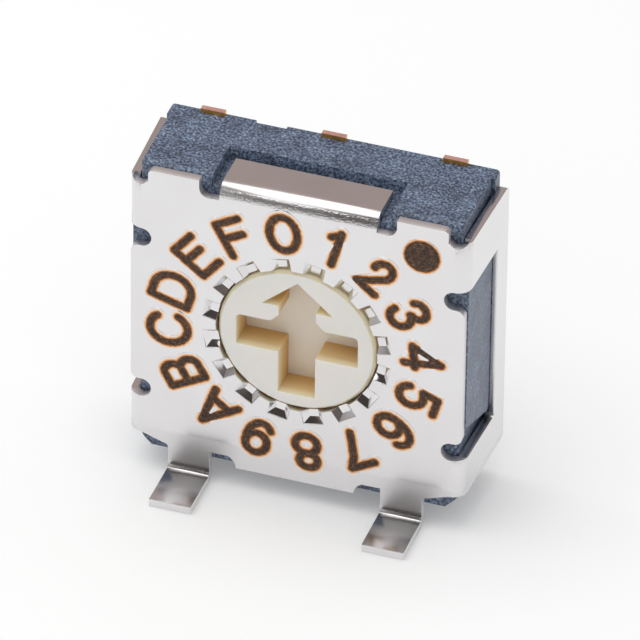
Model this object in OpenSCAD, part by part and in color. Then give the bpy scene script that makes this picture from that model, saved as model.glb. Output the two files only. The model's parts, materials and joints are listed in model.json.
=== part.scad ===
// Right-angle sixteen-position coded rotary switch for surface mounting.
// X runs along the cover's width, Y from the cover's front to the back, Z up.
// The origin is the middle of the footprint on the solder plane.

/* [Body] */
// Width across the folds of the cover
body_w = 7.12; // [7:0.02:8]
// Height of the cover plate from its bottom edge to its top edge
plate_h = 6.9; // [6.8:0.05:7.6]
// Depth from the cover's front to the housing's back
body_d = 2.3; // [2.2:0.05:2.8]
// Height of the cover plate's bottom edge over the solder plane
standoff = 0.5; // [0.45:0.05:0.9]

/* [Cover sheet] */
// Thickness of the cover's sheet metal
sheet_t = 0.18; // [0.15:0.01:0.22]
// Outside radius of the fold between the plate and a side frame
fold_r = 0.3; // [0.25:0.01:0.4]
// Angle by which a side frame springs outwards from square
frame_flare = 2.4; // [1:0.1:4]
// Distance of the side frame's top edge below the plate's top edge
frame_drop = 0.29; // [0.25:0.01:0.5]
// Distance of the side frame's bottom edge above the plate's bottom edge
frame_rise = 0.42; // [0.35:0.01:0.6]
// Radius of the side frame's rear corners
frame_corner_r = 0.14; // [0.05:0.01:0.25]
// Distance of the window's top edge below the plate's top edge
window_drop = 1.45; // [1.2:0.05:1.8]
// Distance of the window's bottom edge above the plate's bottom edge
window_rise = 1.32; // [1.2:0.02:1.8]
// Width of the upright strip behind the window
frame_strip = 0.58; // [0.4:0.02:0.7]
// Distance of the plate's flat middle tab inside the frame's outer face
tab_inset = 0.07; // [0.05:0.01:0.2]
// Radius of the flat tab's corners
tab_corner_r = 0.16; // [0.05:0.01:0.25]
// Height of the relief slot that ends the window in the plate
slot_h = 0.42; // [0.3:0.01:0.5]
// Length of that relief slot inside the flat tab's edge
slot_reach = 0.43; // [0.38:0.01:0.6]
// Rise of the plate's edge above its bottom edge, just outside a leg
corner_rise = 0.26; // [0.2:0.01:0.34]
// Radius of the relief notch in each top corner of the plate
corner_notch_r = 0.2; // [0.15:0.01:0.22]
// Distance of that notch's middle below the plate's top edge
corner_notch_drop = 0.18; // [0.15:0.01:0.25]
// Distance of that notch's middle inside the fold's outer face
corner_notch_inset = 0.23; // [0.2:0.01:0.28]

/* [Cover flap] */
// Width of the flap that folds back over the housing
flap_w = 3.28; // [2.8:0.02:3.3]
// Length of the flap from the cover's front
flap_reach = 1.02; // [0.8:0.01:1.2]
// Outside radius of the flap's fold
flap_r = 0.34; // [0.28:0.01:0.4]
// Distance of the flap's top face below the plate's top edge
flap_drop = 0.04; // [0.02:0.01:0.1]
// Width of the relief slot on each side of the flap
flap_slot_w = 0.42; // [0.3:0.01:0.5]
// Depth of that relief slot below the plate's top edge
flap_slot_h = 0.39; // [0.38:0.01:0.6]

/* [Cover feet] */
// Distance between the middles of the two solder feet
foot_pitch = 4.5; // [4.2:0.1:4.8]
// Width of a leg and its foot
foot_w = 0.88; // [0.6:0.01:1]
// Reach of a foot in front of the cover
foot_reach = 1.15; // [0.9:0.05:1.6]
// Inside radius of the bend between leg and foot
foot_bend_r = 0.08; // [0.05:0.01:0.12]
// Radius of the relief arch on the inner side of a leg
arch_r = 0.28; // [0.2:0.01:0.32]

/* [Detent ring] */
// Number of switch positions
positions = 16; // [16]
// Radius of the rotor's hole in the cover
hole_r = 1.7; // [1.68:0.01:1.75]
// Radius at which the pressed grooves end
groove_out_r = 1.98; // [1.94:0.01:2.1]
// Width of a pressed groove across its mouth
groove_w = 0.44; // [0.4:0.01:0.5]
// Width of a pressed groove at its bottom
groove_floor_w = 0.2; // [0.16:0.01:0.26]
// Depth of a pressed groove
groove_d = 0.13; // [0.1:0.01:0.14]
// Length of the slope that ends a pressed groove
groove_run = 0.11; // [0.08:0.01:0.14]
// Distance of the rotor's axis below the middle of the plate
axis_drop = 0; // [0:0.01:0.1]

/* [Housing] */
// Gap between the cover sheet and the moulding
housing_gap = 0.02; // [0.01:0.01:0.03]
// Height of the housing's top above the plate's top edge
housing_rise = 0.03; // [0:0.01:0.06]
// Thickness of the wider rim at the back
rim_t = 0.3; // [0.2:0.01:0.4]
// Distance of the sides in front of the rim inside it
rim_step = 0.08; // [0.05:0.01:0.12]
// Radius of the rim's top corners
rim_corner_r = 0.08; // [0.05:0.01:0.2]
// Radius of the top front edge
brow_r = 0.2; // [0.16:0.01:0.24]
// Radius of the upright front edges
cheek_r = 0.12; // [0.1:0.01:0.14]
// Width of the recess that takes the flap
recess_w = 3.74; // [3.7:0.02:4]
// Depth of that recess below the housing's top
recess_d = 0.26; // [0.24:0.01:0.34]
// Distance of the recess's rear wall from the cover's front
recess_reach = 1.28; // [1.24:0.01:1.5]
// Distance of the side bosses inside the frame's outer face
boss_inset = 0.05; // [0.03:0.01:0.1]
// Gap between a boss and the window round it
boss_gap = 0.03; // [0.02:0.01:0.06]
// Height of the open stretch of the window under a boss at its front
boss_rise = 0.72; // [0.5:0.01:0.9]
// Height of that open stretch at the boss's rear
boss_rear_rise = 0.2; // [0.1:0.01:0.3]
// Width of the gate's break mark
gate_w = 0.65; // [0.4:0.05:0.8]
// Depth of that mark from the housing's back
gate_d = 0.12; // [0.05:0.01:0.15]

/* [Rotor] */
// Radius of the rotor's visible face with its chamfer
face_r = 1.66; // [1.62:0.01:1.67]
// Width of the chamfer round the face
face_chamfer = 0.06; // [0.03:0.01:0.1]
// Distance of the rotor's face behind the cover's front
face_recess = 0.04; // [0.02:0.01:0.1]
// Radius of the flange behind the cover
flange_r = 2.46; // [2.42:0.01:2.47]
// Thickness of the flange
flange_t = 0.32; // [0.25:0.01:0.4]
// Gap between the flange and the tips of the pressed ridges
flange_gap = 0.02; // [0.02:0.01:0.04]
// Reach of the detent bumps past the tips of the ridges
bump_reach = 0.04; // [0.03:0.01:0.05]
// Width of the arrow's stem
stem_w = 0.78; // [0.6:0.02:0.9]
// Width of the slot's side arms
arm_w = 0.72; // [0.6:0.02:0.8]
// Overall length of the side arms
arm_l = 2.56; // [2.2:0.02:2.7]
// Radius of the side arms' upper corners
arm_corner_r = 0.1; // [0.04:0.01:0.2]
// Height of the arrow point above the axis
arrow_h = 1.4; // [1.3:0.01:1.45]
// Height of the arrow head
arrow_head_h = 0.64; // [0.5:0.01:0.7]
// Width of the arrow head
arrow_w = 1.48; // [1.3:0.02:1.6]
// Reach of the stem below the axis
stem_foot = 1.33; // [1.1:0.01:1.45]
// Size of the corner fill between the stem and the side arms
stem_fill = 0.18; // [0.1:0.01:0.25]
// Depth of the slot
slot_d = 0.65; // [0.5:0.01:0.75]

/* [Seal] */
// Thickness of the seal ring
seal_d = 0.34; // [0.3:0.01:0.4]
// Clearance round the seal ring
seal_gap = 0.02; // [0.01:0.01:0.03]

/* [Contacts] */
// Radius of the round cavity that holds the rotor
cavity_r = 2.5; // [2.5:0.01:2.54]
// Thickness of the code disc
disc_t = 0.1; // [0.08:0.01:0.12]
// Radius of the code disc
disc_r = 1.94; // [1.9:0.01:2]
// Depth by which the disc is let into the rotor's back
disc_sink = 0.07; // [0.05:0.01:0.08]
// Radial width of a code track
track_w = 0.2; // [0.16:0.01:0.22]
// Distance between neighbouring code tracks
track_pitch = 0.3; // [0.28:0.01:0.31]
// Room for the spring fingers between the disc and the cavity's floor
finger_room = 0.42; // [0.35:0.01:0.45]
// Thickness of the terminals' sheet
lead_t = 0.12; // [0.1:0.01:0.14]
// Width of a lead and of its tip
lead_w = 0.5; // [0.4:0.01:0.52]
// Width of a spring finger
finger_w = 0.36; // [0.3:0.01:0.4]
// Distance between the outer lead and the middle lead
pin_pitch = 2.54; // [2.54]
// Reach of the leads' feet behind the housing
lead_reach = 0.8; // [0.6:0.05:1.2]
// Inside radius of the bend in a lead
lead_bend_r = 0.1; // [0.08:0.01:0.14]
// Height of the cut tips above the housing's top
tip_h = 0.1; // [0.06:0.01:0.25]

/* [Hidden] */
$fn = 64;

// Small overlap that keeps cuts clean
eps = 0.01;

// Middle of the footprint, from the feet in front to the leads' feet behind
origin_y = (body_d + lead_reach - foot_reach) / 2;

plate_bottom = standoff;
plate_top = standoff + plate_h;
axis_z = standoff + plate_h / 2 - axis_drop;
half_w = body_w / 2;
fold_x = half_w - fold_r;
tab_x = half_w - tab_inset;
// Outer face of the leaning side frame at a distance from the cover's front
function frame_x(y) = fold_x + fold_r / cos(frame_flare) + (y - fold_r) * tan(frame_flare);

frame_top = plate_top - frame_drop;
frame_bottom = plate_bottom + frame_rise;
window_top = plate_top - window_drop;
window_bottom = plate_bottom + window_rise;
window_rear = body_d - frame_strip;
window_corner_r = 0.08;
slot_end_x = tab_x - slot_reach;
shoulder_corner_r = 0.1;
notch_x = half_w - corner_notch_inset;
notch_z = plate_top - corner_notch_drop;
leg_x = foot_pitch / 2 + foot_w / 2;
leg_fillet = 0.1;

flap_top = plate_top - flap_drop;
flap_start = flap_top - flap_r;
flap_slot_x = (flap_w + flap_slot_w) / 2;

step_angle = 360 / positions;

housing_front = sheet_t + housing_gap;
housing_top = plate_top + housing_rise;
rim_x = frame_x(body_d - rim_t) - sheet_t / cos(frame_flare) - housing_gap / 2;
core_x = rim_x - rim_step;
foot_chamfer = 0.25;
core_edge_r = 0.04;
gate_x = -gate_w - 1;
gate_h = gate_d / 2;
recess_floor = housing_top - recess_d;
// The brow under the flap's fold is rounder than the fold's inside
recess_brow_r = flap_r - sheet_t + housing_gap;

flange_front = sheet_t + groove_d + flange_gap;
flange_back = flange_front + flange_t;
seal_room = seal_d + 2 * seal_gap;
collar_t = 0.12;
rotor_back = flange_back + seal_room + collar_t;
seal_seat_r = cavity_r - seal_room;
collar_inset = 0.2;
collar_r = cavity_r - collar_inset;
bump_r = 0.1;
bump_tip = sheet_t + groove_d - bump_reach;
bump_positions = 4;

disc_front = rotor_back - disc_sink;
disc_back = disc_front + disc_t;
disc_hole_r = 0.36;
contact_gap = 0.02;
contact_y = disc_back + contact_gap;
floor_y = disc_back + finger_room;
rear_y = body_d - lead_t;

// Track radii for the weights 1, 2, 4 and 8, and for the common ring
disc_margin = 0.08;
track_r = [for (i = [0 : 3]) disc_r - disc_margin - track_w / 2 - i * track_pitch];
common_r = track_r[3] - track_pitch;
weights = [1, 2, 4, 8];
inner_x = pin_pitch / 2;
contact_points = [
    [inner_x, -sqrt(pow(track_r[0], 2) - pow(inner_x, 2))],
    [-inner_x, -sqrt(pow(track_r[1], 2) - pow(inner_x, 2))],
    [track_r[2], 0],
    [-track_r[3], 0]
];
finger_lip = 0.15;
finger_land = 0.25;
rail_w = 0.2;
jog_h = 0.5;
jog_margin = 0.35;
jog_low = plate_bottom + jog_margin + jog_h;
jog_high = housing_top - jog_margin - jog_h;
finger_root_z = jog_low + finger_land;

// Draws a front view outline (X, Z) as a slab from y0 towards the back
module front_slab(y0, depth) {
    translate([0, y0 + depth, 0]) rotate([90, 0, 0]) linear_extrude(depth) children();
}

// Draws a side view outline (Y, Z) as a slab from x0 towards +X
module side_slab(x0, width) {
    translate([x0, 0, 0]) rotate([90, 0, 90]) linear_extrude(width) children();
}

// Quarter of a bent sheet in the first quadrant
module quarter_bend(inner_r, t) {
    intersection() {
        difference() {
            circle(r = inner_r + t);
            circle(r = inner_r);
        }
        square(inner_r + t);
    }
}

// Rectangle from the origin with its two far corners rounded
module round_end(length, height, r) {
    square([length - r, height]);
    translate([0, r]) square([length, height - 2 * r]);
    for (z = [r, height - r]) translate([length - r, z]) circle(r = r);
}

module at_axis() {
    translate([0, 0, axis_z]) children();
}

module both_sides() {
    children();
    mirror([1, 0, 0]) children();
}

// Pressed groove along +X: a trough with sloping flanks whose outer end slopes back to the sheet
module pressed_trough(mouth_y, lead_in) {
    half = groove_w / 2;
    floor_half = groove_floor_w / 2;
    intersection() {
        side_slab(hole_r - groove_w / 2, groove_out_r - hole_r + groove_w / 2)
            polygon([[mouth_y - lead_in, -half], [mouth_y, -half], [mouth_y + groove_d, -floor_half],
                [mouth_y + groove_d, floor_half], [mouth_y, half], [mouth_y - lead_in, half]]);
        translate([0, 0, -half]) linear_extrude(groove_w)
            polygon([[0, mouth_y - lead_in], [groove_out_r, mouth_y - lead_in],
                [groove_out_r, mouth_y], [groove_out_r - groove_run, mouth_y + groove_d],
                [0, mouth_y + groove_d]]);
    }
}

// One copy of the children for each gap between two positions
module around_detents() {
    at_axis() for (i = [0 : positions - 1])
        rotate([0, (i + 0.5) * step_angle, 0]) children();
}

module plate_outline() {
    difference() {
        union() {
            translate([-fold_x, frame_bottom]) square([2 * fold_x, frame_top - frame_bottom]);
            translate([-tab_x, window_bottom + slot_h])
                round_bar(2 * tab_x, window_top - window_bottom - 2 * slot_h, tab_corner_r);
            shoulder_outline();
            apron_outline();
            both_sides() skirt_outline();
        }
        flap_gap_outline();
        both_sides() side_notches();
    }
}

// Rectangle from the origin with four round corners
module round_bar(width, height, r) {
    translate([r, 0]) square([width - 2 * r, height]);
    translate([0, r]) square([width, height - 2 * r]);
    for (x = [r, width - r], z = [r, height - r]) translate([x, z]) circle(r = r);
}

// Top stretch of the plate, up to its top edge
module shoulder_outline() {
    shoulder_x = notch_x - corner_notch_r;
    height = plate_top - frame_top + shoulder_corner_r + eps;
    translate([-shoulder_x, plate_top - height]) round_bar(2 * shoulder_x, height, shoulder_corner_r);
}

// Lower edge outside a leg, rising to the side frame, with a fillet at the leg
module skirt_outline() {
    low = plate_bottom + corner_rise;
    polygon([[0, low], [leg_x + leg_fillet, low], [fold_x, frame_bottom],
        [fold_x, frame_bottom + eps], [0, frame_bottom + eps]]);
    difference() {
        translate([leg_x - eps, low - leg_fillet]) square([leg_fillet + eps, leg_fillet + eps]);
        translate([leg_x + leg_fillet, low - leg_fillet]) circle(r = leg_fillet);
    }
}

// Middle of the lower edge, with an arch beside each leg
module apron_outline() {
    apron_x = foot_pitch / 2 - foot_w / 2;
    difference() {
        translate([-apron_x, plate_bottom]) square([2 * apron_x, corner_rise + arch_r]);
        both_sides() {
            translate([apron_x - arch_r, plate_bottom]) circle(r = arch_r);
            translate([apron_x - arch_r, plate_bottom - eps]) square([arch_r + eps, arch_r]);
        }
    }
}

// Room between the flap's relief slots, above the start of the flap's fold
module flap_gap_outline() {
    translate([-flap_slot_x, flap_start]) square([2 * flap_slot_x, plate_h]);
    both_sides() translate([flap_slot_x, plate_top - flap_slot_h + flap_slot_w / 2]) {
        circle(d = flap_slot_w);
        translate([-flap_slot_w / 2, 0]) square([flap_slot_w, plate_h]);
    }
}

// The two slots where the window runs on into the plate
module side_notches() {
    for (z = [window_top - slot_h, window_bottom]) translate([slot_end_x + slot_h / 2, z + slot_h / 2]) {
        circle(d = slot_h);
        translate([0, -slot_h / 2]) square([fold_x - slot_end_x + fold_r, slot_h]);
    }
}

// Fold and leaning wall of a side frame, seen from above
module frame_outline() {
    translate([fold_x, fold_r]) {
        intersection() {
            mirror([0, 1]) quarter_bend(fold_r - sheet_t, sheet_t);
            rotate(-frame_flare) mirror([0, 1]) square(fold_r);
        }
        rotate(-frame_flare) translate([fold_r - sheet_t, 0]) square([sheet_t, body_d]);
    }
}

// Folded side frame with its window, on the +X side
module side_frame() {
    height = frame_top - frame_bottom;
    difference() {
        intersection() {
            translate([0, 0, frame_bottom]) linear_extrude(height) frame_outline();
            translate([0, 0, frame_bottom]) side_slab(0, body_w)
                round_end(body_d, height, frame_corner_r);
        }
        translate([0, -eps, window_bottom]) side_slab(0, body_w)
            round_end(window_rear + eps, window_top - window_bottom, window_corner_r);
    }
}

// Relief notch between the plate's top corner and the side frame
module corner_notch() {
    front_slab(-eps, fold_r) translate([notch_x, notch_z]) {
        circle(r = corner_notch_r);
        translate([-corner_notch_r, 0]) square([2 * corner_notch_r, plate_h]);
    }
}

module flap() {
    side_slab(-flap_w / 2, flap_w) {
        translate([flap_r, flap_start]) mirror([1, 0]) quarter_bend(flap_r - sheet_t, sheet_t);
        translate([flap_r, flap_top - sheet_t]) square([flap_reach - flap_r, sheet_t]);
    }
}

// Leg and foot on the +X side
module foot() {
    bend_z = sheet_t + foot_bend_r;
    side_slab(foot_pitch / 2 - foot_w / 2, foot_w) {
        translate([0, bend_z]) square([sheet_t, plate_bottom + corner_rise - bend_z + eps]);
        translate([-foot_bend_r, bend_z]) mirror([0, 1]) quarter_bend(foot_bend_r, sheet_t);
        translate([-foot_reach, 0]) square([foot_reach - foot_bend_r, sheet_t]);
    }
}

module cover() {
    color("gainsboro") difference() {
        union() {
            front_slab(0, sheet_t) plate_outline();
            both_sides() {
                side_frame();
                foot();
            }
            flap();
            around_detents() pressed_trough(sheet_t, sheet_t / 8);
        }
        at_axis() rotate([-90, 0, 0]) cylinder(r = hole_r, h = body_d, center = true);
        around_detents() pressed_trough(0, eps);
        both_sides() corner_notch();
    }
}

// Front view outline of the moulding, with round top and bevelled bottom corners
module housing_outline(half, top_r) {
    polygon([[-half + foot_chamfer, plate_bottom], [half - foot_chamfer, plate_bottom],
        [half, plate_bottom + foot_chamfer], [half, housing_top - top_r],
        [half - top_r, housing_top - top_r], [half - top_r, housing_top],
        [-half + top_r, housing_top], [-half + top_r, housing_top - top_r],
        [-half, housing_top - top_r], [-half, plate_bottom + foot_chamfer]]);
    for (x = [-half + top_r, half - top_r]) translate([x, housing_top - top_r]) circle(r = top_r);
}

// Body in front of the rim, with its rounded brow and cheeks
module housing_core() {
    depth = body_d - rim_t - housing_front + eps;
    height = housing_top - plate_bottom;
    intersection() {
        front_slab(housing_front, depth) housing_outline(core_x, core_edge_r);
        side_slab(-half_w, body_w) translate([housing_front, plate_bottom]) {
            square([depth, height - brow_r]);
            translate([brow_r, 0]) square([depth - brow_r, height]);
            translate([brow_r, height - brow_r]) circle(r = brow_r);
        }
        translate([0, 0, plate_bottom]) linear_extrude(height) {
            translate([-core_x, housing_front + cheek_r]) square([2 * core_x, depth - cheek_r]);
            translate([-core_x + cheek_r, housing_front]) square([2 * (core_x - cheek_r), depth]);
            for (x = [-core_x + cheek_r, core_x - cheek_r]) translate([x, housing_front + cheek_r])
                circle(r = cheek_r);
        }
    }
}

// Wider rim at the back, with round top corners
module housing_rim() {
    front_slab(body_d - rim_t, rim_t) housing_outline(rim_x, rim_corner_r);
}

// Boss that fills the window of a side frame, its lower end slanting
module side_boss() {
    front = housing_front;
    rear = window_rear - boss_gap;
    top = window_top - boss_gap;
    bevel = 0.1;
    side_slab(core_x - bevel, half_w - boss_inset - core_x + bevel)
        polygon([[front, window_bottom + boss_rise], [rear - bevel, window_bottom + boss_rear_rise],
            [rear, window_bottom + boss_rear_rise + bevel / 2], [rear, top - bevel],
            [rear - bevel, top], [front, top]]);
}

module flap_recess() {
    side_slab(-recess_w / 2, recess_w) {
        translate([0, recess_floor]) square([recess_reach, recess_d + eps]);
        difference() {
            translate([housing_front - eps, recess_floor - recess_brow_r])
                square([recess_brow_r + eps, recess_brow_r + eps]);
            translate([housing_front + recess_brow_r, recess_floor - recess_brow_r])
                circle(r = recess_brow_r);
        }
    }
}

// Shallow break mark of the moulding gate between two tips
module gate_mark() {
    translate([gate_x, body_d - gate_d, housing_top - gate_h]) cube([gate_w, 2 * gate_d, 2 * gate_h]);
}

module housing() {
    color("slategray") difference() {
        union() {
            housing_core();
            housing_rim();
            both_sides() side_boss();
        }
        at_axis() rotate([-90, 0, 0]) cylinder(r = cavity_r, h = floor_y);
        flap_recess();
        gate_mark();
        common_body(eps);
        for (i = [0 : 3]) terminal_body(i, eps);
    }
}

// Half section of the rotor: radius against distance from the cover's front
module rotor_section() {
    polygon([[0, face_recess], [face_r - face_chamfer, face_recess],
        [face_r, face_recess + face_chamfer], [face_r, flange_front], [flange_r, flange_front],
        [flange_r, flange_back], [seal_seat_r, flange_back], [seal_seat_r, flange_back + seal_room],
        [collar_r, flange_back + seal_room], [collar_r, rotor_back], [0, rotor_back]]);
}

// Arrow-shaped cross slot, in the front view round the axis
module arrow_slot_outline() {
    stem = stem_w / 2;
    arm = arm_w / 2;
    barb_z = arrow_h - arrow_head_h;
    translate([-arm_l / 2, -arm]) {
        translate([0, arm_corner_r]) round_bar(arm_l, arm_w - arm_corner_r, arm_corner_r);
        square([arm_l, arm_w - arm_corner_r]);
    }
    translate([-stem, -stem_foot]) square([stem_w, stem_foot + barb_z]);
    polygon([[0, arrow_h], [-arrow_w / 2, barb_z], [arrow_w / 2, barb_z]]);
    for (side = [-1, 1])
        polygon([[0, 0], [side * (stem + stem_fill), arm], [side * stem, arm + stem_fill]]);
}

module rotor() {
    color("ivory") at_axis() difference() {
        union() {
            rotate([-90, 0, 0]) rotate_extrude() rotor_section();
            for (i = [0 : bump_positions - 1]) rotate([0, i * 360 / bump_positions, 0])
                translate([hole_r, bump_tip + bump_r, 0]) rotate([0, 90, 0])
                    cylinder(r = bump_r, h = groove_out_r - hole_r);
        }
        front_slab(face_recess - eps, slot_d + eps) arrow_slot_outline();
        translate([0, disc_front, 0]) rotate([-90, 0, 0]) cylinder(r = disc_r + seal_gap, h = 1);
    }
}

module seal_ring() {
    color("dimgray") at_axis() translate([0, flange_back + seal_room / 2, 0])
        rotate([-90, 0, 0]) rotate_extrude()
            translate([seal_seat_r + seal_room / 2, 0]) circle(d = seal_d);
}

// Sector of a track that is open at the given angle
module open_sector(r, angle) {
    reach = 2 * disc_r;
    half = step_angle / 2;
    intersection() {
        difference() {
            circle(r = r + track_w / 2);
            circle(r = r - track_w / 2);
        }
        polygon([[0, 0], reach * [cos(angle - half), sin(angle - half)],
            reach * [cos(angle + half), sin(angle + half)]]);
    }
}

// Stamped disc: a track is closed where the position holds the track's weight
module code_disc() {
    color("goldenrod") at_axis() front_slab(disc_front, disc_t) difference() {
        circle(r = disc_r);
        circle(r = disc_hole_r);
        for (i = [0 : 3], k = [0 : positions - 1])
            if (floor(k / weights[i]) % 2 == 0)
                open_sector(track_r[i],
                    atan2(contact_points[i][1], contact_points[i][0]) + k * step_angle);
    }
}

// Lead seen from the side: foot on the solder plane, rise at the back, step to the floor's plane
module lead_outline(cut) {
    bend_z = lead_t + lead_bend_r;
    translate([rear_y, bend_z]) square([lead_t, plate_bottom + jog_margin - bend_z]);
    translate([rear_y, plate_bottom]) square([lead_t + cut, jog_margin]);
    translate([body_d + lead_bend_r, bend_z]) mirror([1, 0]) mirror([0, 1])
        quarter_bend(lead_bend_r, lead_t);
    translate([body_d + lead_bend_r, 0]) square([lead_reach - lead_bend_r, lead_t]);
    jog_outline(plate_bottom + jog_margin, jog_low);
}

// Slanting step between the back plane at z_rear and the floor's plane at z_floor
module jog_outline(z_rear, z_floor) {
    polygon([[rear_y, z_rear], [rear_y + lead_t, z_rear], [floor_y + lead_t, z_floor],
        [floor_y, z_floor]]);
}

// Strip in the floor's plane, seen from the side
module strip_outline(z0, z1) {
    translate([floor_y, z0]) square([lead_t, z1 - z0]);
}

// Upper end of a lead: a step to the back plane and the cut tip
module tip_outline(cut) {
    z = housing_top - jog_margin;
    jog_outline(z, jog_high);
    translate([rear_y, z]) square([lead_t, jog_margin + tip_h]);
    translate([rear_y, z]) square([lead_t + cut, jog_margin + cut]);
}

// Spring finger from its root on the floor to its contact: distance from the cover's front
// against the way along the finger
module finger_outline(root, contact) {
    lip = contact > root ? finger_lip : -finger_lip;
    polygon([[floor_y, root], [floor_y + lead_t, root], [contact_y + lead_t, contact],
        [contact_y + 2 * lead_t, contact + lip], [contact_y + lead_t, contact + lip],
        [contact_y, contact]]);
}

module upright_finger(x, contact_z) {
    side_slab(x - finger_w / 2, finger_w) finger_outline(finger_root_z, axis_z + contact_z);
}

// Finger that reaches inwards from a side strip at the height of the axis
module level_finger(side, contact_r) {
    root = pin_pitch - lead_w / 2 - finger_land / 2;
    at_axis() {
        translate([0, 0, -finger_w / 2]) linear_extrude(finger_w) rotate([0, 0, 90])
            mirror([0, side > 0 ? 1 : 0]) finger_outline(root, contact_r);
        front_slab(floor_y, lead_t) mirror([side > 0 ? 0 : 1, 0])
            translate([root - eps, -finger_w / 2]) square([pin_pitch - root, finger_w]);
    }
}

// Common terminal: a full-height strip with its finger cut from the middle
module common_body(cut = 0) {
    width = lead_w + 2 * rail_w;
    side_slab(-lead_w / 2, lead_w) {
        lead_outline(cut);
        tip_outline(cut);
    }
    front_slab(floor_y, lead_t) difference() {
        translate([-width / 2, jog_low]) square([width, jog_high - jog_low]);
        translate([-lead_w / 2, finger_root_z + eps])
            square([lead_w, axis_z - common_r + 2 * finger_lip - finger_root_z]);
    }
    upright_finger(0, -common_r);
}

// Code terminal for the weight with the given index
module terminal_body(i, cut = 0) {
    outer = i > 1;
    side = i % 2 == 0 ? 1 : -1;
    x = side * (outer ? pin_pitch : inner_x);
    side_slab(x - lead_w / 2, lead_w) {
        lead_outline(cut);
        strip_outline(jog_low, outer ? jog_high : finger_root_z + eps);
        if (outer) tip_outline(cut);
    }
    if (outer) level_finger(side, track_r[i]);
    else upright_finger(x, contact_points[i][1]);
}

module terminal(i) {
    color("goldenrod") terminal_body(i);
}

module seated() {
    translate([0, -origin_y, 0]) children();
}

seated() cover();
seated() housing();
seated() rotor();
seated() seal_ring();
seated() code_disc();
seated() color("goldenrod") common_body();  // terminal_common
seated() terminal(0);  // terminal_1
seated() terminal(1);  // terminal_2
seated() terminal(2);  // terminal_4
seated() terminal(3);  // terminal_8
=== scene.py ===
"""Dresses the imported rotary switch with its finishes, laser marks, light and camera."""

import json
from math import cos, pi, radians, sin

import bpy
from mathutils import Matrix, Vector

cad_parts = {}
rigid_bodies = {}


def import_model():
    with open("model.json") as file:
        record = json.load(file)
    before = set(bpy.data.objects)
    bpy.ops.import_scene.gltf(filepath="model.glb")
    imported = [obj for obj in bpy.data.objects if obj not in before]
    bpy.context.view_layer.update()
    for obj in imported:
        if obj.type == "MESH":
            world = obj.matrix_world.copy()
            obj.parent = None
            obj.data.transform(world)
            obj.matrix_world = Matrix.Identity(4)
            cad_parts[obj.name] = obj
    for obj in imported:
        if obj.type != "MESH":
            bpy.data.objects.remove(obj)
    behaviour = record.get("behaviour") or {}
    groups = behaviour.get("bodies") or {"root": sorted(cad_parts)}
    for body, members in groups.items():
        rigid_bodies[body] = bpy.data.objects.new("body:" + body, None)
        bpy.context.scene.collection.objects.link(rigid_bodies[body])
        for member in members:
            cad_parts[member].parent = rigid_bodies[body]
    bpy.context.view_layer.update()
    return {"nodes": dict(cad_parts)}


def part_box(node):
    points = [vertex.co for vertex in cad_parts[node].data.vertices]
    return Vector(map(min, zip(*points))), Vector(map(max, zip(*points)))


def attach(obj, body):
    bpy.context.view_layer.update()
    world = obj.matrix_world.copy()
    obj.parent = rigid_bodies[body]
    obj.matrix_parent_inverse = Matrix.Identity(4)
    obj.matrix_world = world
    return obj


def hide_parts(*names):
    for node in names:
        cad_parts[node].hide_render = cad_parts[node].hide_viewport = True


bl_info = {
    "name": "Rotary Switch Dresser",
    "version": (1, 0, 0),
    "blender": (4, 5, 0),
    "location": "View3D > Sidebar > Switch",
    "description": "Gives a coded rotary switch its finishes, marks, light and camera",
    "category": "Object",
}

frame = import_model()
NODES = frame["nodes"]
ROTOR_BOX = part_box("rotor")

MM = 0.001
BODY_DEPTH = 2.3 * MM

# The cover ends at the body's back, so its plate's front is a body's depth before that
PLATE_FRONT_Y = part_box("cover")[1].y - BODY_DEPTH
AXIS_Z = (ROTOR_BOX[0].z + ROTOR_BOX[1].z) / 2
ROTOR_FACE_Y = ROTOR_BOX[0].y
# Depth of the slot's floor behind the rotor's face
SLOT_DEPTH = 0.65 * MM
# Height of the cut where the strip of terminals was parted from its tie bar
TIP_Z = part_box("terminal_common")[1].z
# The grooves end on this radius round the rotor's axis
GROOVE_RADIUS = 1.98 * MM
# Just behind the back of the cover's plate
SHEET_BACK_Y = PLATE_FRONT_Y + 0.19 * MM
# Heights between which the legs run from their bends to the plate
LEG_BEND_Z = 0.3 * MM
LEG_TOP_Z = 1.0 * MM
WHITE = (1.0, 1.0, 1.0, 1.0)


class FinishSettings(bpy.types.PropertyGroup):
    """Colours of the switch's materials, as sRGB hex values."""

    steel: bpy.props.StringProperty(
        name="Steel", description="Tinned steel sheet of the cover", default="#E4E3E4"
    )
    moulding: bpy.props.StringProperty(
        name="Housing", description="Filled thermoplastic of the housing", default="#68778E"
    )
    rotor: bpy.props.StringProperty(
        name="Rotor", description="Ivory thermoplastic of the rotor", default="#F1EEE8"
    )
    gold: bpy.props.StringProperty(
        name="Terminals", description="Thin gold over copper alloy", default="#F5BC68"
    )
    rubber: bpy.props.StringProperty(
        name="Seal", description="Nitrile rubber of the seal ring", default="#26262A"
    )
    burn: bpy.props.StringProperty(
        name="Marks", description="Oxide that the laser leaves in a mark", default="#432A17"
    )


class EdgeSettings(bpy.types.PropertyGroup):
    """Widths of the broken edges of the main pieces."""

    cover: bpy.props.FloatProperty(
        name="Cover", description="Edge break of the cover", default=0.02 * MM, unit="LENGTH"
    )
    housing: bpy.props.FloatProperty(
        name="Housing", description="Edge break of the housing", default=0.025 * MM, unit="LENGTH"
    )
    rotor: bpy.props.FloatProperty(
        name="Rotor", description="Edge break of the rotor", default=0.02 * MM, unit="LENGTH"
    )


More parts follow.
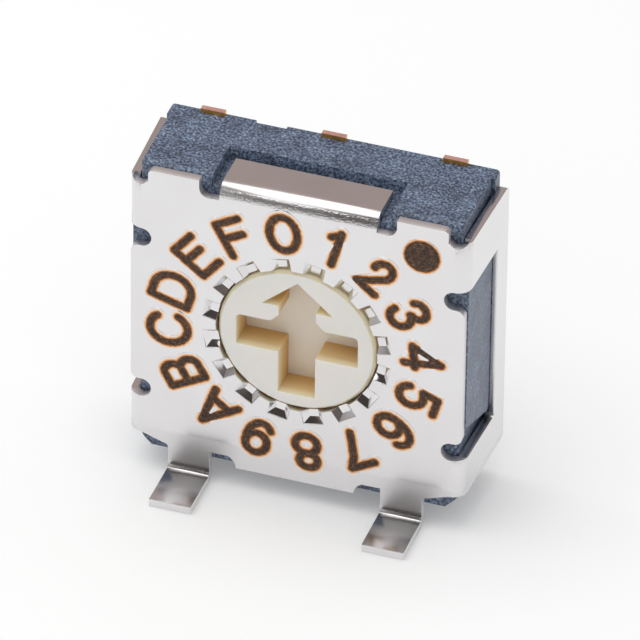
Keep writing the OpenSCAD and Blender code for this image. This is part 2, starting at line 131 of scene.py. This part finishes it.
class MarkSettings(bpy.types.PropertyGroup):
    """Sizes of the marks round the rotor."""

    ring_radius: bpy.props.FloatProperty(
        name="Ring radius",
        description="Distance of the marks' middles from the middle of their ring",
        default=2.656 * MM,
        unit="LENGTH",
    )
    ring_turn: bpy.props.FloatProperty(
        name="Ring turn",
        description="Turn of the first mark from the upright",
        default=radians(-6.5),
        unit="ROTATION",
    )
    size: bpy.props.FloatProperty(name="Size", description="Scale of the marks", default=1.0)
    stroke: bpy.props.FloatProperty(
        name="Stroke", description="Width of the dark stroke", default=0.15 * MM, unit="LENGTH"
    )
    halo: bpy.props.FloatProperty(
        name="Halo",
        description="Width of the heat tint beside the stroke",
        default=0.08 * MM,
        unit="LENGTH",
    )
    dot_radius: bpy.props.FloatProperty(
        name="Dot radius",
        description="Radius of the dot that marks the corner",
        default=0.36 * MM,
        unit="LENGTH",
    )


class StageSettings(bpy.types.PropertyGroup):
    """Levels of the studio light."""

    key: bpy.props.FloatProperty(
        name="Key", description="Power of the soft box overhead", default=0.034, unit="POWER"
    )
    sky: bpy.props.FloatProperty(
        name="Sky", description="Strength of the even light all round", default=0.64
    )


def linear(hex_code):
    """Linear RGBA of an sRGB hex colour."""
    parts = [int(hex_code[i : i + 2], 16) / 255 for i in (1, 3, 5)]
    return [c / 12.92 if c <= 0.04045 else ((c + 0.055) / 1.055) ** 2.4 for c in parts] + [1.0]


def add(tree, kind, inputs=None, **settings):
    """Adds a node; an input is set to a value or linked from another node's output."""
    made = tree.nodes.new(kind)
    for key, value in settings.items():
        setattr(made, key, value)
    for key, value in (inputs or {}).items():
        if isinstance(value, bpy.types.NodeSocket):
            tree.links.new(value, made.inputs[key])
        else:
            made.inputs[key].default_value = value
    return made


def new_material(name):
    """An empty node material, its tree, its shader and the object coordinates."""
    material = bpy.data.materials.new(name)
    material.use_nodes = True
    tree = material.node_tree
    tree.nodes.clear()
    shader = add(tree, "ShaderNodeBsdfPrincipled")
    add(tree, "ShaderNodeOutputMaterial", {"Surface": shader.outputs["BSDF"]})
    place = add(tree, "ShaderNodeTexCoord").outputs["Object"]
    return material, tree, shader, place


def ramped(tree, value, start, end, low=0.0, high=1.0):
    """Maps the range from start to end smoothly to the range from low to high."""
    mapped = add(
        tree,
        "ShaderNodeMapRange",
        {"Value": value, "From Min": start, "From Max": end, "To Min": low, "To Max": high},
        interpolation_type="SMOOTHSTEP",
    )
    return mapped.outputs["Result"]


def product(tree, *values):
    """The product of the given values."""
    result = values[0]
    for value in values[1:]:
        result = add(tree, "ShaderNodeMath", {0: result, 1: value}, operation="MULTIPLY").outputs[0]
    return result


def raised(tree, base, amount, share):
    """The base plus the given amount where share is 1."""
    node = add(tree, "ShaderNodeMath", {0: share, 1: amount, 2: base}, operation="MULTIPLY_ADD")
    return node.outputs[0]


def mixed(tree, share, first, second):
    """The first colour or socket where share is 0, the second where it is 1."""
    node = add(tree, "ShaderNodeMix", {0: share, 6: first, 7: second}, data_type="RGBA")
    return node.outputs[2]


def colour_steps(tree, value, steps):
    """A colour ramp through the given positions and hex colours."""
    node = add(tree, "ShaderNodeValToRGB", {"Fac": value})
    elements = node.color_ramp.elements
    while len(elements) < len(steps):
        elements.new(0.5)
    # A ramp sorts its elements as they move, so the colours come after the positions
    for index, (position, colour) in enumerate(steps):
        elements[index].position = position
    for index, (position, colour) in enumerate(steps):
        elements[index].color = linear(colour)
    return node.outputs["Color"]


def noise(tree, place, per_mm, detail=3.0, stretch=(1.0, 1.0, 1.0)):
    """Fractal noise with so many grains a millimetre; a share below 1 stretches them on an axis."""
    scale = tuple(per_mm / MM * share for share in stretch)
    spread = add(tree, "ShaderNodeMapping", {"Vector": place, "Scale": scale})
    node = add(
        tree,
        "ShaderNodeTexNoise",
        {"Vector": spread.outputs["Vector"], "Scale": 1.0, "Detail": detail},
    )
    return node.outputs["Fac"]


def axes_of(tree, vector):
    """The X, Y and Z outputs of a vector."""
    return add(tree, "ShaderNodeSeparateXYZ", {"Vector": vector}).outputs


def normal_axes(tree):
    """The components of the object's own normal."""
    return axes_of(tree, add(tree, "ShaderNodeTexCoord").outputs["Normal"])


def bumped(tree, height, distance, strength=1.0, under=None):
    """A normal from a height, on top of the normal under it."""
    inputs = {"Height": height, "Strength": strength, "Distance": distance}
    if under:
        inputs["Normal"] = under
    return add(tree, "ShaderNodeBump", inputs).outputs["Normal"]


def tinned_steel(settings):
    """Tin-plated steel strip, stamped.

    Tin plate is bright but not polished: the eye sees a soft satin sheen with hairlines
    from rolling, along the strip. A punch coins the grooves smooth, the outside of a fold
    is stretched to a fine orange peel, the die rubs the legs, and a sheared edge stays dull.
    """
    material, tree, shader, place = new_material("tin_plated_steel_strip")
    axes = axes_of(tree, place)
    lean = normal_axes(tree)
    # The tin lies in clouds of about a millimetre
    cloud = noise(tree, place, 0.9)
    flat = add(
        tree,
        "ShaderNodeMapping",
        {"Vector": place, "Location": (0.0, 0.0, -AXIS_Z), "Scale": (1.0, 0.0, 1.0)},
    )
    radius = add(
        tree, "ShaderNodeVectorMath", {0: flat.outputs["Vector"]}, operation="LENGTH"
    ).outputs["Value"]

    # Where the surface lies behind the plate's front, and no further than the sheet is thick
    behind = ramped(tree, axes["Y"], PLATE_FRONT_Y + 0.004 * MM, PLATE_FRONT_Y + 0.012 * MM)
    in_sheet = ramped(tree, axes["Y"], SHEET_BACK_Y + 0.01 * MM, SHEET_BACK_Y)
    coined = product(tree, ramped(tree, radius, GROOVE_RADIUS + 0.05 * MM, GROOVE_RADIUS), behind)
    sheared = product(tree, behind, in_sheet, ramped(tree, lean["Y"], -0.4, -0.3))
    uncoined = add(tree, "ShaderNodeMath", {0: 1.0, 1: coined}, operation="SUBTRACT").outputs[0]
    folded = product(tree, ramped(tree, lean["Z"], 0.04, 0.2), ramped(tree, lean["Z"], 0.72, 0.55))
    stretched = product(tree, folded, uncoined)
    rubbed = product(
        tree,
        ramped(tree, axes["Z"], LEG_TOP_Z + 0.12 * MM, LEG_TOP_Z),
        ramped(tree, axes["Z"], LEG_BEND_Z, LEG_BEND_Z + 0.1 * MM),
    )

    rough = ramped(tree, cloud, 0.3, 0.7, 0.19, 0.24)
    for share, amount in ((sheared, 0.25), (stretched, 0.1), (coined, -0.09), (rubbed, 0.2)):
        rough = raised(tree, rough, amount, share)
    tone = colour_steps(tree, cloud, ((0.3, "#E0DEDF"), (0.7, settings.steel)))
    # Rolling leaves hairlines a few micrometres apart, too fine to show: drawn at 0.03 mm
    hairlines = bumped(tree, noise(tree, place, 30.0, 2.0, (1.0, 0.04, 0.04)), 0.0012 * MM, 0.5)
    # The steel's grains, of about 0.04 mm, raise the peel
    peel = product(tree, noise(tree, place, 26.0, 1.0), stretched)
    grain = bumped(tree, peel, 0.012 * MM, under=hairlines)
    shader.inputs["Metallic"].default_value = 1.0
    tree.links.new(tone, shader.inputs["Base Color"])
    tree.links.new(rough, shader.inputs["Roughness"])
    tree.links.new(grain, shader.inputs["Normal"])
    return material


def filled_moulding(settings):
    """Glass-filled thermoplastic, moulded in an eroded tool.

    The eye sees a matt, slightly grainy dark grey-blue with small pale specks of filler.
    """
    material, tree, shader, place = new_material("glass_filled_moulding")
    # Glass fibres are about 0.01 mm thick, too fine to show: the specks are drawn at 0.05 mm
    specks = noise(tree, place, 19.0, 4.0)
    mottled = raised(tree, specks, 0.25, noise(tree, place, 2.5, 4.0))
    steps = (
        (0.46, "#363E4D"),
        (0.59, "#4E586A"),
        (0.66, settings.moulding),
        (0.75, "#7686A0"),
        (0.84, "#A2B2C6"),
    )
    tree.links.new(colour_steps(tree, mottled, steps), shader.inputs["Base Color"])
    tree.links.new(ramped(tree, specks, 0.35, 0.65, 0.28, 0.5), shader.inputs["Roughness"])
    tree.links.new(bumped(tree, specks, 0.01 * MM, 0.8), shader.inputs["Normal"])
    return material


def ivory_moulding(settings):
    """Natural thermoplastic, moulded and unpainted.

    The eye sees a warm off-white that lets a little light in. Its walls carry a painted golden
    shade that deepens with depth, standing in for light that has passed through the plastic, and
    the slot's floor a painted lighter tone.
    """
    material, tree, shader, place = new_material("ivory_thermoplastic")
    depth = ramped(tree, axes_of(tree, place)["Y"], ROTOR_FACE_Y, ROTOR_FACE_Y + SLOT_DEPTH)
    wall = ramped(tree, normal_axes(tree)["Y"], -0.93, -0.75)
    # Painted shade: the slot's walls darken to gold with depth, standing in for light passed
    # through the plastic and bounced between the walls
    walls = colour_steps(tree, depth, ((0.0, "#EFE3C4"), (0.25, "#E2C892"), (1.0, "#CFA468")))
    # Painted light and shade on forward faces: darker partway into the slot, lighter again on its
    # floor to offset the shade it lies in
    fronts_painted_depth_tone = colour_steps(
        tree, depth, ((0.02, settings.rotor), (0.3, "#E6DAC2"), (1.0, "#EFE7DB"))
    )
    shader.inputs["Roughness"].default_value = 0.42
    shader.inputs["Subsurface Weight"].default_value = 0.5
    shader.inputs["Subsurface Radius"].default_value = (1.0, 0.6, 0.3)
    shader.inputs["Subsurface Scale"].default_value = 0.25 * MM
    tree.links.new(mixed(tree, wall, fronts_painted_depth_tone, walls), shader.inputs["Base Color"])
    # The tool's polish leaves waves of about 0.4 mm
    tree.links.new(bumped(tree, noise(tree, place, 2.5), 0.02 * MM, 0.08), shader.inputs["Normal"])
    return material


def gold_plate(settings):
    """Flash gold over nickel on a copper-alloy strip.

    The eye sees a warm satin gold on the rolled faces; where the tie bar was cut off,
    over the housing, the bare alloy shows pink.
    """
    material, tree, shader, place = new_material("gold_plated_copper_alloy")
    height = axes_of(tree, place)["Z"]
    cut = ramped(tree, height, TIP_Z - 0.01 * MM, TIP_Z - 0.004 * MM)
    # The plating follows the strip's grain, of about 0.1 mm
    grain = noise(tree, place, 9.0)
    gold = colour_steps(tree, grain, ((0.3, "#EBB05C"), (0.65, settings.gold)))
    bare = colour_steps(tree, grain, ((0.35, "#E6B5A6"), (0.65, "#F4CFC4")))
    shader.inputs["Metallic"].default_value = 1.0
    tree.links.new(mixed(tree, cut, gold, bare), shader.inputs["Base Color"])
    tree.links.new(ramped(tree, cut, 0.0, 1.0, 0.42, 0.6), shader.inputs["Roughness"])
    return material


def seal_rubber(settings):
    """Nitrile rubber, moulded: the eye sees a dull near-black."""
    material, tree, shader, place = new_material("nitrile_rubber")
    sheen = add(
        tree,
        "ShaderNodeMapRange",
        {"Value": noise(tree, place, 5.0, 2.0), "To Min": 0.55, "To Max": 0.75},
    )
    shader.inputs["Base Color"].default_value = linear(settings.rubber)
    tree.links.new(sheen.outputs["Result"], shader.inputs["Roughness"])
    return material


# Pitch of the laser's passes in millimetres; a real one is about half that, too fine to show
PASS_PITCH = 0.05
# Bare margin of a mark's skin, beyond its heat tint
MARGIN = 0.02 * MM


def laser_mark(name, settings, width, halo):
    """Steel oxidised by a laser, in a stroke of the given width with a halo beside it.

    The eye sees a dark brown stroke made of fine parallel passes, with an orange heat
    tint beside it that fades into the bare tin plate. Pale brown spots along the passes are
    painted glints. The attribute holds the distance from the middle of the stroke, in millimetres.
    """
    material, tree, shader, place = new_material(name)
    reach = add(tree, "ShaderNodeAttribute", attribute_name="stroke_distance").outputs["Fac"]
    half = width / 2 / MM
    ragged = raised(tree, reach, 0.04, noise(tree, place, 14.0))
    span = add(
        tree,
        "ShaderNodeMapRange",
        {"Value": ragged, "From Min": half, "From Max": half + (halo + MARGIN) / MM},
    ).outputs["Result"]
    wave = add(
        tree, "ShaderNodeMath", {0: product(tree, reach, 2 * pi / PASS_PITCH)}, operation="COSINE"
    ).outputs[0]
    # The darker browns are the oxide's own colour; the pale top of this ramp, on the passes'
    # crests, is a painted glint
    burnt_and_painted_glints = colour_steps(
        tree,
        raised(tree, noise(tree, place, 16.0, 2.0), 0.12, wave),
        ((0.28, "#27160A"), (0.5, settings.burn), (0.7, "#6A4628"), (0.86, "#957A60")),
    )
    tint = colour_steps(
        tree,
        span,
        (
            (0.0, "#2A1A10"),
            (0.14, "#5A3618"),
            (0.3, "#B56F35"),
            (0.5, "#E0AE7C"),
            (0.75, "#E8D3C2"),
            (1.0, settings.steel),
        ),
    )
    tone = mixed(tree, ramped(tree, span, 0.0, 0.12), burnt_and_painted_glints, tint)
    relief = product(tree, wave, ramped(tree, span, 0.3, 0.0))
    tree.links.new(ramped(tree, span, 0.05, 0.5), shader.inputs["Metallic"])
    tree.links.new(tone, shader.inputs["Base Color"])
    tree.links.new(ramped(tree, span, 0.0, 0.6, 0.6, 0.22), shader.inputs["Roughness"])
    tree.links.new(bumped(tree, relief, 0.003 * MM, 0.5), shader.inputs["Normal"])
    return material


def select_only(*pieces):
    """Selects the given pieces and makes the first one active."""
    bpy.ops.object.select_all(action="DESELECT")
    for piece in pieces:
        piece.select_set(True)
    bpy.context.view_layer.objects.active = pieces[0]


def finish_mesh(piece, material, smooth_angle=30.0):
    """Smooths by angle, in degrees, and gives the piece one material."""
    piece.data.materials.clear()
    piece.data.materials.append(material)
    select_only(piece)
    bpy.ops.object.shade_smooth_by_angle(angle=radians(smooth_angle))


def edge_broken_copy(node, name, body, edge_break, material):
    """A copy of a CAD node with its loose triangles merged and its sharp edges broken."""
    select_only(NODES[node])
    bpy.ops.object.duplicate()
    piece = bpy.context.active_object
    for key in list(piece.keys()):
        del piece[key]
    bpy.ops.object.parent_clear(type="CLEAR_KEEP_TRANSFORM")
    piece.name = name
    piece.data.name = name
    bpy.ops.object.mode_set(mode="EDIT")
    bpy.ops.mesh.select_all(action="SELECT")
    bpy.ops.mesh.remove_doubles(threshold=0.0001 * MM)
    bpy.ops.mesh.dissolve_limited(angle_limit=radians(0.6))
    bpy.ops.object.mode_set(mode="OBJECT")
    bevel = piece.modifiers.new("edge_break", "BEVEL")
    bevel.width = edge_break
    bevel.segments = 2
    bevel.limit_method = "ANGLE"
    bevel.angle_limit = radians(35)
    bpy.ops.object.modifier_apply(modifier=bevel.name)
    finish_mesh(piece, material, 40.0)
    # Keeps the wide flat faces flat beside their rounded edges
    even = piece.modifiers.new("even_faces", "WEIGHTED_NORMAL")
    even.keep_sharp = True
    bpy.ops.object.modifier_apply(modifier=even.name)
    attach(piece, body)
    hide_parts(node)
    return piece


def arc(cx, cy, rx, ry, start, end, steps=14):
    """Points on an ellipse from one angle to another, in degrees."""
    turns = [radians(start + (end - start) * i / steps) for i in range(steps + 1)]
    return [(cx + rx * cos(turn), cy + ry * sin(turn)) for turn in turns]


# Middle lines of the strokes, in millimetres from the mark's middle
GLYPHS = {
    "0": [arc(0.02, -0.02, 0.29, 0.395, 90, 450, 28)],
    "1": [[(-0.07, 0.23), (0.06, 0.33), (0.1, 0.4), (0.11, -0.41)]],
    "2": [arc(0.045, 0.2, 0.19, 0.195, 195, -40) + [(0.02, -0.15), (-0.2, -0.385), (0.28, -0.385)]],
    "3": [arc(0.0, 0.255, 0.2, 0.17, 175, -75), arc(0.01, -0.16, 0.225, 0.225, 85, -175, 16)],
    "4": [[(0.138, -0.38), (0.138, 0.4), (-0.27, -0.16), (0.24, -0.165)]],
    "5": [
        [(0.21, 0.41), (-0.18, 0.41), (-0.21, 0.09)]
        + arc(-0.03, -0.125, 0.235, 0.26, 115, -160, 16)
    ],
    "6": [
        arc(-0.01, -0.015, 0.265, 0.4, 42, 270, 18),
        arc(-0.035, -0.16, 0.225, 0.25, 0, 360, 24),
    ],
    "7": [[(-0.27, 0.37), (0.27, 0.37), (0.11, 0.15), (0.0, -0.12), (-0.1, -0.42)]],
    "8": [
        arc(0.013, 0.18, 0.195, 0.17, -90, 270, 22),
        arc(0.02, -0.21, 0.235, 0.215, 90, 450, 26),
    ],
    "9": [
        arc(0.045, 0.105, 0.227, 0.245, 0, 360, 24),
        arc(0.025, -0.03, 0.255, 0.39, 10, -136, 16),
    ],
    "A": [[(-0.265, -0.42), (0.06, 0.4), (0.345, -0.42)], [(-0.18, -0.215), (0.26, -0.215)]],
    "B": [
        [(-0.21, -0.38), (-0.21, 0.41), (0.12, 0.41)]
        + arc(0.12, 0.215, 0.16, 0.195, 90, -90, 10)
        + [(-0.21, 0.02)],
        [(0.12, 0.02)] + arc(0.12, -0.18, 0.165, 0.2, 90, -90, 10) + [(-0.21, -0.38)],
    ],
    "C": [arc(0.045, 0.02, 0.35, 0.4, 32, 325, 24)],
    "D": [
        [(-0.33, -0.37), (-0.33, 0.42), (-0.05, 0.42)]
        + arc(-0.05, 0.025, 0.36, 0.395, 90, -90, 18)
        + [(-0.33, -0.37)]
    ],
    "E": [
        [(0.27, 0.39), (-0.27, 0.39), (-0.27, -0.39), (0.27, -0.39)],
        [(-0.27, 0.065), (0.18, 0.065)],
    ],
    "F": [[(0.25, 0.36), (-0.265, 0.36), (-0.265, -0.41)], [(-0.265, 0.0), (0.18, 0.0)]],
}

# Middle of the ring of marks, to the right of the rotor's axis and above it
RING_OFFSET = (-0.017 * MM, -0.05 * MM)
# Middle of the corner dot, likewise
DOT_OFFSET = (2.59 * MM, 2.72 * MM)
# How far a mark's skin stands before the plate's front and reaches behind it
SKIN_PROUD = 0.004 * MM
SKIN_SUNK = 0.002 * MM
SKIN_GRAIN = 0.02 * MM
# A line with at least as many points is a curve, and has no corners to round
CURVE_POINTS = 8


def nearest(point, strokes):
    """Distance from a flat point to the nearest stroke's middle line."""
    best = 1.0
    for line in strokes:
        for a, b in zip(line, line[1:] or line):
            run = b - a
            share = (point - a).dot(run) / run.length_squared if run.length_squared else 0.0
            share = max(0.0, min(1.0, share))
            best = min(best, (point - a - run * share).length)
    return best


def add_ball(point, radius):
    """A ball round a flat point, which rounds a stroke's end or corner."""
    bpy.ops.object.select_all(action="DESELECT")
    bpy.ops.mesh.primitive_uv_sphere_add(
        segments=16, ring_count=8, radius=radius, location=(point.x, 0.0, point.y)
    )
    return bpy.context.active_object


def add_tube(name, line, radius):
    """A tube along a flat line."""
    curve = bpy.data.curves.new(name, "CURVE")
    curve.dimensions = "3D"
    curve.bevel_depth = radius
    curve.bevel_resolution = 4
    curve.use_fill_caps = True
    spline = curve.splines.new("POLY")
    spline.points.add(len(line) - 1)
    for point, flat in zip(spline.points, line):
        point.co = (flat.x, 0.0, flat.y, 1.0)
    tube = bpy.data.objects.new(name, curve)
    bpy.context.scene.collection.objects.link(tube)
    select_only(tube)
    bpy.ops.object.convert(target="MESH")
    return bpy.context.active_object


def build_mark(name, strokes, reach, material):
    """A thin skin on the plate round the given middle lines, one closed shell.

    strokes are lists of flat (X, Z) points in metres, reach the skin's half width.
    """
    parts = []
    for line in strokes:
        parts.append(add_ball(line[0], reach))
        if len(line) == 1:
            continue
        parts.append(add_ball(line[-1], reach))
        parts.append(add_tube(name, line, reach))
        if len(line) < CURVE_POINTS:
            parts.extend(add_ball(corner, reach) for corner in line[1:-1])
    select_only(*parts)
    if len(parts) > 1:
        bpy.ops.object.join()
    piece = parts[0]
    piece.name = name
    piece.data.name = name
    remesh = piece.modifiers.new("skin", "REMESH")
    remesh.mode = "VOXEL"
    remesh.voxel_size = SKIN_GRAIN
    bpy.ops.object.modifier_apply(modifier=remesh.name)
    bpy.ops.object.transform_apply(location=True, rotation=True, scale=True)
    attribute = piece.data.attributes.new("stroke_distance", "FLOAT", "POINT")
    for vertex, store in zip(piece.data.vertices, attribute.data):
        store.value = nearest(Vector((vertex.co.x, vertex.co.z)), strokes) / MM
        is_back = vertex.co.y > -0.25 * reach
        vertex.co.y = PLATE_FRONT_Y + (SKIN_SUNK if is_back else -SKIN_PROUD)
    finish_mesh(piece, material)
    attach(piece, "case")
    return piece


def placed_on_ring(line, turn, marks):
    """A mark's middle line as flat points on the plate, its mark turned round the ring."""
    points = []
    for u, v in line:
        x = u * MM * marks.size
        z = v * MM * marks.size + marks.ring_radius
        across = RING_OFFSET[0] + x * cos(turn) + z * sin(turn)
        above = RING_OFFSET[1] + AXIS_Z + z * cos(turn) - x * sin(turn)
        points.append(Vector((across, above)))
    return points


class SWITCH_OT_cover(bpy.types.Operator):
    """Give the folded cover its tin-plated finish and broken edges"""

    bl_idname = "switch.cover"
    bl_label = "Cover"

    def execute(self, context):
        steel = tinned_steel(context.scene.switch_finish)
        edge_broken_copy("cover", "stamped_cover", "case", context.scene.switch_edges.cover, steel)
        return {"FINISHED"}


class SWITCH_OT_mouldings(bpy.types.Operator):
    """Give the housing and the rotor their moulded surfaces and soft edges"""

    bl_idname = "switch.mouldings"
    bl_label = "Mouldings"

    def execute(self, context):
        finish = context.scene.switch_finish
        edges = context.scene.switch_edges
        filled = filled_moulding(finish)
        edge_broken_copy("housing", "moulded_housing", "case", edges.housing, filled)
        ivory = ivory_moulding(finish)
        edge_broken_copy("rotor", "moulded_rotor", "rotor", edges.rotor, ivory)
        return {"FINISHED"}


class SWITCH_OT_contacts(bpy.types.Operator):
    """Give the terminals, the code disc and the seal ring their finishes"""

    bl_idname = "switch.contacts"
    bl_label = "Contacts and seal"

    def execute(self, context):
        finish = context.scene.switch_finish
        gold = gold_plate(finish)
        for name, node in NODES.items():
            if name.startswith("terminal") or name == "code_disc":
                node.data.materials.clear()
                node.data.materials.append(gold)
        seal = NODES["seal_ring"]
        seal.data.materials.clear()
        seal.data.materials.append(seal_rubber(finish))
        return {"FINISHED"}


class SWITCH_OT_marks(bpy.types.Operator):
    """Mark the sixteen positions and the corner dot on the cover"""

    bl_idname = "switch.marks"
    bl_label = "Position marks"

    def execute(self, context):
        finish = context.scene.switch_finish
        marks = context.scene.switch_marks
        oxide = laser_mark("laser_oxidised_steel", finish, marks.stroke, marks.halo)
        reach = marks.stroke / 2 + marks.halo + MARGIN
        for index, (letter, lines) in enumerate(GLYPHS.items()):
            turn = marks.ring_turn + index * 2 * pi / len(GLYPHS)
            strokes = [placed_on_ring(line, turn, marks) for line in lines]
            build_mark(f"mark_{letter}", strokes, reach, oxide)
        dot = Vector((DOT_OFFSET[0], DOT_OFFSET[1] + AXIS_Z))
        spot = laser_mark("laser_oxidised_dot", finish, marks.dot_radius * 2, marks.halo)
        build_mark("corner_dot", [[dot]], marks.dot_radius + marks.halo, spot)
        return {"FINISHED"}


class SWITCH_OT_stage(bpy.types.Operator):
    """Set the floor, the soft light and the camera at the photograph's angle"""

    bl_idname = "switch.stage"
    bl_label = "Stage"

    def execute(self, context):
        settings = context.scene.switch_stage
        context.scene.view_settings.view_transform = "Standard"
        add_floor()
        add_world(settings)
        add_soft_box(settings)
        add_camera()
        return {"FINISHED"}


def share_of_rays(tree, *kinds):
    """1 for rays of one of the given kinds, 0 for the rest."""
    path = add(tree, "ShaderNodeLightPath").outputs
    seen = path[kinds[0]]
    for kind in kinds[1:]:
        seen = add(tree, "ShaderNodeMath", {0: seen, 1: path[kind]}, operation="MAXIMUM").outputs[0]
    return seen


def add_floor():
    """A matt white card. Camera, glossy and transmission rays also meet an even glow on it."""
    bpy.ops.object.select_all(action="DESELECT")
    bpy.ops.mesh.primitive_circle_add(vertices=96, radius=0.5, fill_type="NGON")
    floor = bpy.context.active_object
    floor.name = "studio_floor"
    material, tree, shader, place = new_material("matt_white_card")
    shader.inputs["Base Color"].default_value = linear("#F2F2F2")
    shader.inputs["Roughness"].default_value = 0.9
    output = next(n for n in tree.nodes if n.bl_idname == "ShaderNodeOutputMaterial")
    glow = add(tree, "ShaderNodeEmission", {"Color": WHITE, "Strength": 0.17})
    both = add(tree, "ShaderNodeAddShader", {0: shader.outputs[0], 1: glow.outputs[0]})
    seen = share_of_rays(tree, "Is Camera Ray", "Is Glossy Ray", "Is Transmission Ray")
    chosen = add(
        tree, "ShaderNodeMixShader", {0: seen, 1: shader.outputs[0], 2: both.outputs[0]}
    )
    tree.links.new(chosen.outputs[0], output.inputs["Surface"])
    floor.data.materials.append(material)


# What bright metal mirrors of the studio above its floor. Each wall has the direction of its
# middle, the half angles in degrees at which it starts and ends to fade, and its radiance
STUDIO_TONE = (0.15, 0.13, 0.12, 1.0)
WALLS = (
    ((0.0, 1.0, 0.0), 60, 100, (0.41, 0.335, 0.31, 1.0)),
    ((-1.0, 0.0, 0.0), 30, 60, (0.5, 0.48, 0.47, 1.0)),
    ((0.0, -0.757, 0.6), 25, 40, (0.06, 0.05, 0.045, 1.0)),
)


def add_world(settings):
    """An even pale light all round; bright metal mirrors the studio's darker walls instead."""
    world = bpy.data.worlds.new("studio")
    bpy.context.scene.world = world
    world.use_nodes = True
    tree = world.node_tree
    tree.nodes.clear()
    ahead = add(tree, "ShaderNodeTexCoord").outputs["Generated"]
    colour = STUDIO_TONE
    for middle, start, end, radiance in WALLS:
        nearness = add(
            tree,
            "ShaderNodeVectorMath",
            {0: ahead, 1: Vector(middle).normalized()},
            operation="DOT_PRODUCT",
        ).outputs["Value"]
        inside = ramped(tree, nearness, cos(radians(end)), cos(radians(start)))
        colour = mixed(tree, inside, colour, radiance)
    even = add(tree, "ShaderNodeBackground", {"Color": WHITE, "Strength": settings.sky})
    white = add(tree, "ShaderNodeBackground", {"Color": WHITE, "Strength": 1.0})
    mirrored = add(tree, "ShaderNodeBackground", {"Color": colour, "Strength": 1.0})
    glossy = share_of_rays(tree, "Is Glossy Ray")
    lit = add(
        tree, "ShaderNodeMixShader", {0: glossy, 1: even.outputs[0], 2: mirrored.outputs[0]}
    )
    seen = share_of_rays(tree, "Is Camera Ray", "Is Transmission Ray")
    chosen = add(tree, "ShaderNodeMixShader", {0: seen, 1: lit.outputs[0], 2: white.outputs[0]})
    add(tree, "ShaderNodeOutputWorld", {"Surface": chosen.outputs[0]})


SOFT_BOX_PLACE = Vector((-0.018, -0.008, 0.09))
SOFT_BOX_SIDE = 0.084
# The middle of the switch, at which the soft box points
SOFT_BOX_AIM = Vector((0.0, 0.0, 0.0035))


def add_soft_box(settings):
    """A square soft box overhead, a little to the left."""
    bpy.ops.object.light_add(type="AREA", location=SOFT_BOX_PLACE)
    lamp = bpy.context.active_object
    lamp.name = "overhead_softbox"
    lamp.data.shape = "SQUARE"
    lamp.data.size = SOFT_BOX_SIDE
    lamp.data.energy = settings.key
    lamp.rotation_euler = (SOFT_BOX_AIM - SOFT_BOX_PLACE).to_track_quat("-Z", "Y").to_euler()


PHOTO_SIDE = 640
SENSOR_MM = 36.0
# The photograph's viewpoint: turn, height and roll in degrees, distance in metres,
# focal length in pixels, and where the picture of the plate's lower edge falls, in pixels
VIEW_TURN = 18.284
VIEW_HEIGHT = 36.145
VIEW_ROLL = 0.802
VIEW_DISTANCE = 0.2205
VIEW_FOCAL = 10972.0
VIEW_ORIGIN = (294.18, 500.55)


def add_camera():
    """The camera at the photograph's viewpoint, aimed so that the switch falls in its place."""
    turn, height, roll = radians(VIEW_TURN), radians(VIEW_HEIGHT), radians(VIEW_ROLL)
    right = Vector((cos(turn), sin(turn), 0.0))
    up = Vector((-sin(turn) * sin(height), cos(turn) * sin(height), cos(height)))
    ahead = Vector((-sin(turn) * cos(height), cos(turn) * cos(height), -sin(height)))
    right, up = cos(roll) * right + sin(roll) * up, cos(roll) * up - sin(roll) * right
    aside = (VIEW_ORIGIN[0] - PHOTO_SIDE / 2) / VIEW_FOCAL * VIEW_DISTANCE
    below = (VIEW_ORIGIN[1] - PHOTO_SIDE / 2) / VIEW_FOCAL * VIEW_DISTANCE
    plate_foot = Vector((0.0, PLATE_FRONT_Y, 0.0))
    place = plate_foot - right * aside + up * below - ahead * VIEW_DISTANCE
    bpy.ops.object.camera_add(location=place)
    camera = bpy.context.active_object
    camera.name = "photo_camera"
    turned = Matrix((right, up, -ahead)).transposed().to_4x4()
    camera.matrix_world = Matrix.Translation(place) @ turned
    camera.data.sensor_width = SENSOR_MM
    camera.data.lens = VIEW_FOCAL / PHOTO_SIDE * SENSOR_MM
    camera.data.clip_start = 0.001
    camera.data.clip_end = 10.0
    bpy.context.scene.camera = camera


class SWITCH_PT_panel(bpy.types.Panel):
    """Shows the switch's settings and its steps in the sidebar"""

    bl_label = "Rotary Switch"
    bl_idname = "SWITCH_PT_panel"
    bl_space_type = "VIEW_3D"
    bl_region_type = "UI"
    bl_category = "Switch"

    def draw(self, context):
        layout = self.layout
        for group in GROUPS:
            settings = getattr(context.scene, group)
            box = layout.box()
            for name in settings.__annotations__:
                box.prop(settings, name)
        for operator in OPERATORS:
            layout.operator(operator.bl_idname)


GROUPS = {
    "switch_finish": FinishSettings,
    "switch_edges": EdgeSettings,
    "switch_marks": MarkSettings,
    "switch_stage": StageSettings,
}
OPERATORS = (
    SWITCH_OT_cover,
    SWITCH_OT_mouldings,
    SWITCH_OT_contacts,
    SWITCH_OT_marks,
    SWITCH_OT_stage,
)
CLASSES = (*GROUPS.values(), *OPERATORS, SWITCH_PT_panel)


def register():
    for item in CLASSES:
        bpy.utils.register_class(item)
    for name, group in GROUPS.items():
        setattr(bpy.types.Scene, name, bpy.props.PointerProperty(type=group))


def unregister():
    for name in GROUPS:
        delattr(bpy.types.Scene, name)
    for item in reversed(CLASSES):
        bpy.utils.unregister_class(item)


def main():
    register()
    bpy.ops.switch.cover()
    bpy.ops.switch.mouldings()
    bpy.ops.switch.contacts()
    bpy.ops.switch.marks()
    bpy.ops.switch.stage()


if __name__ == "__main__":
    main()
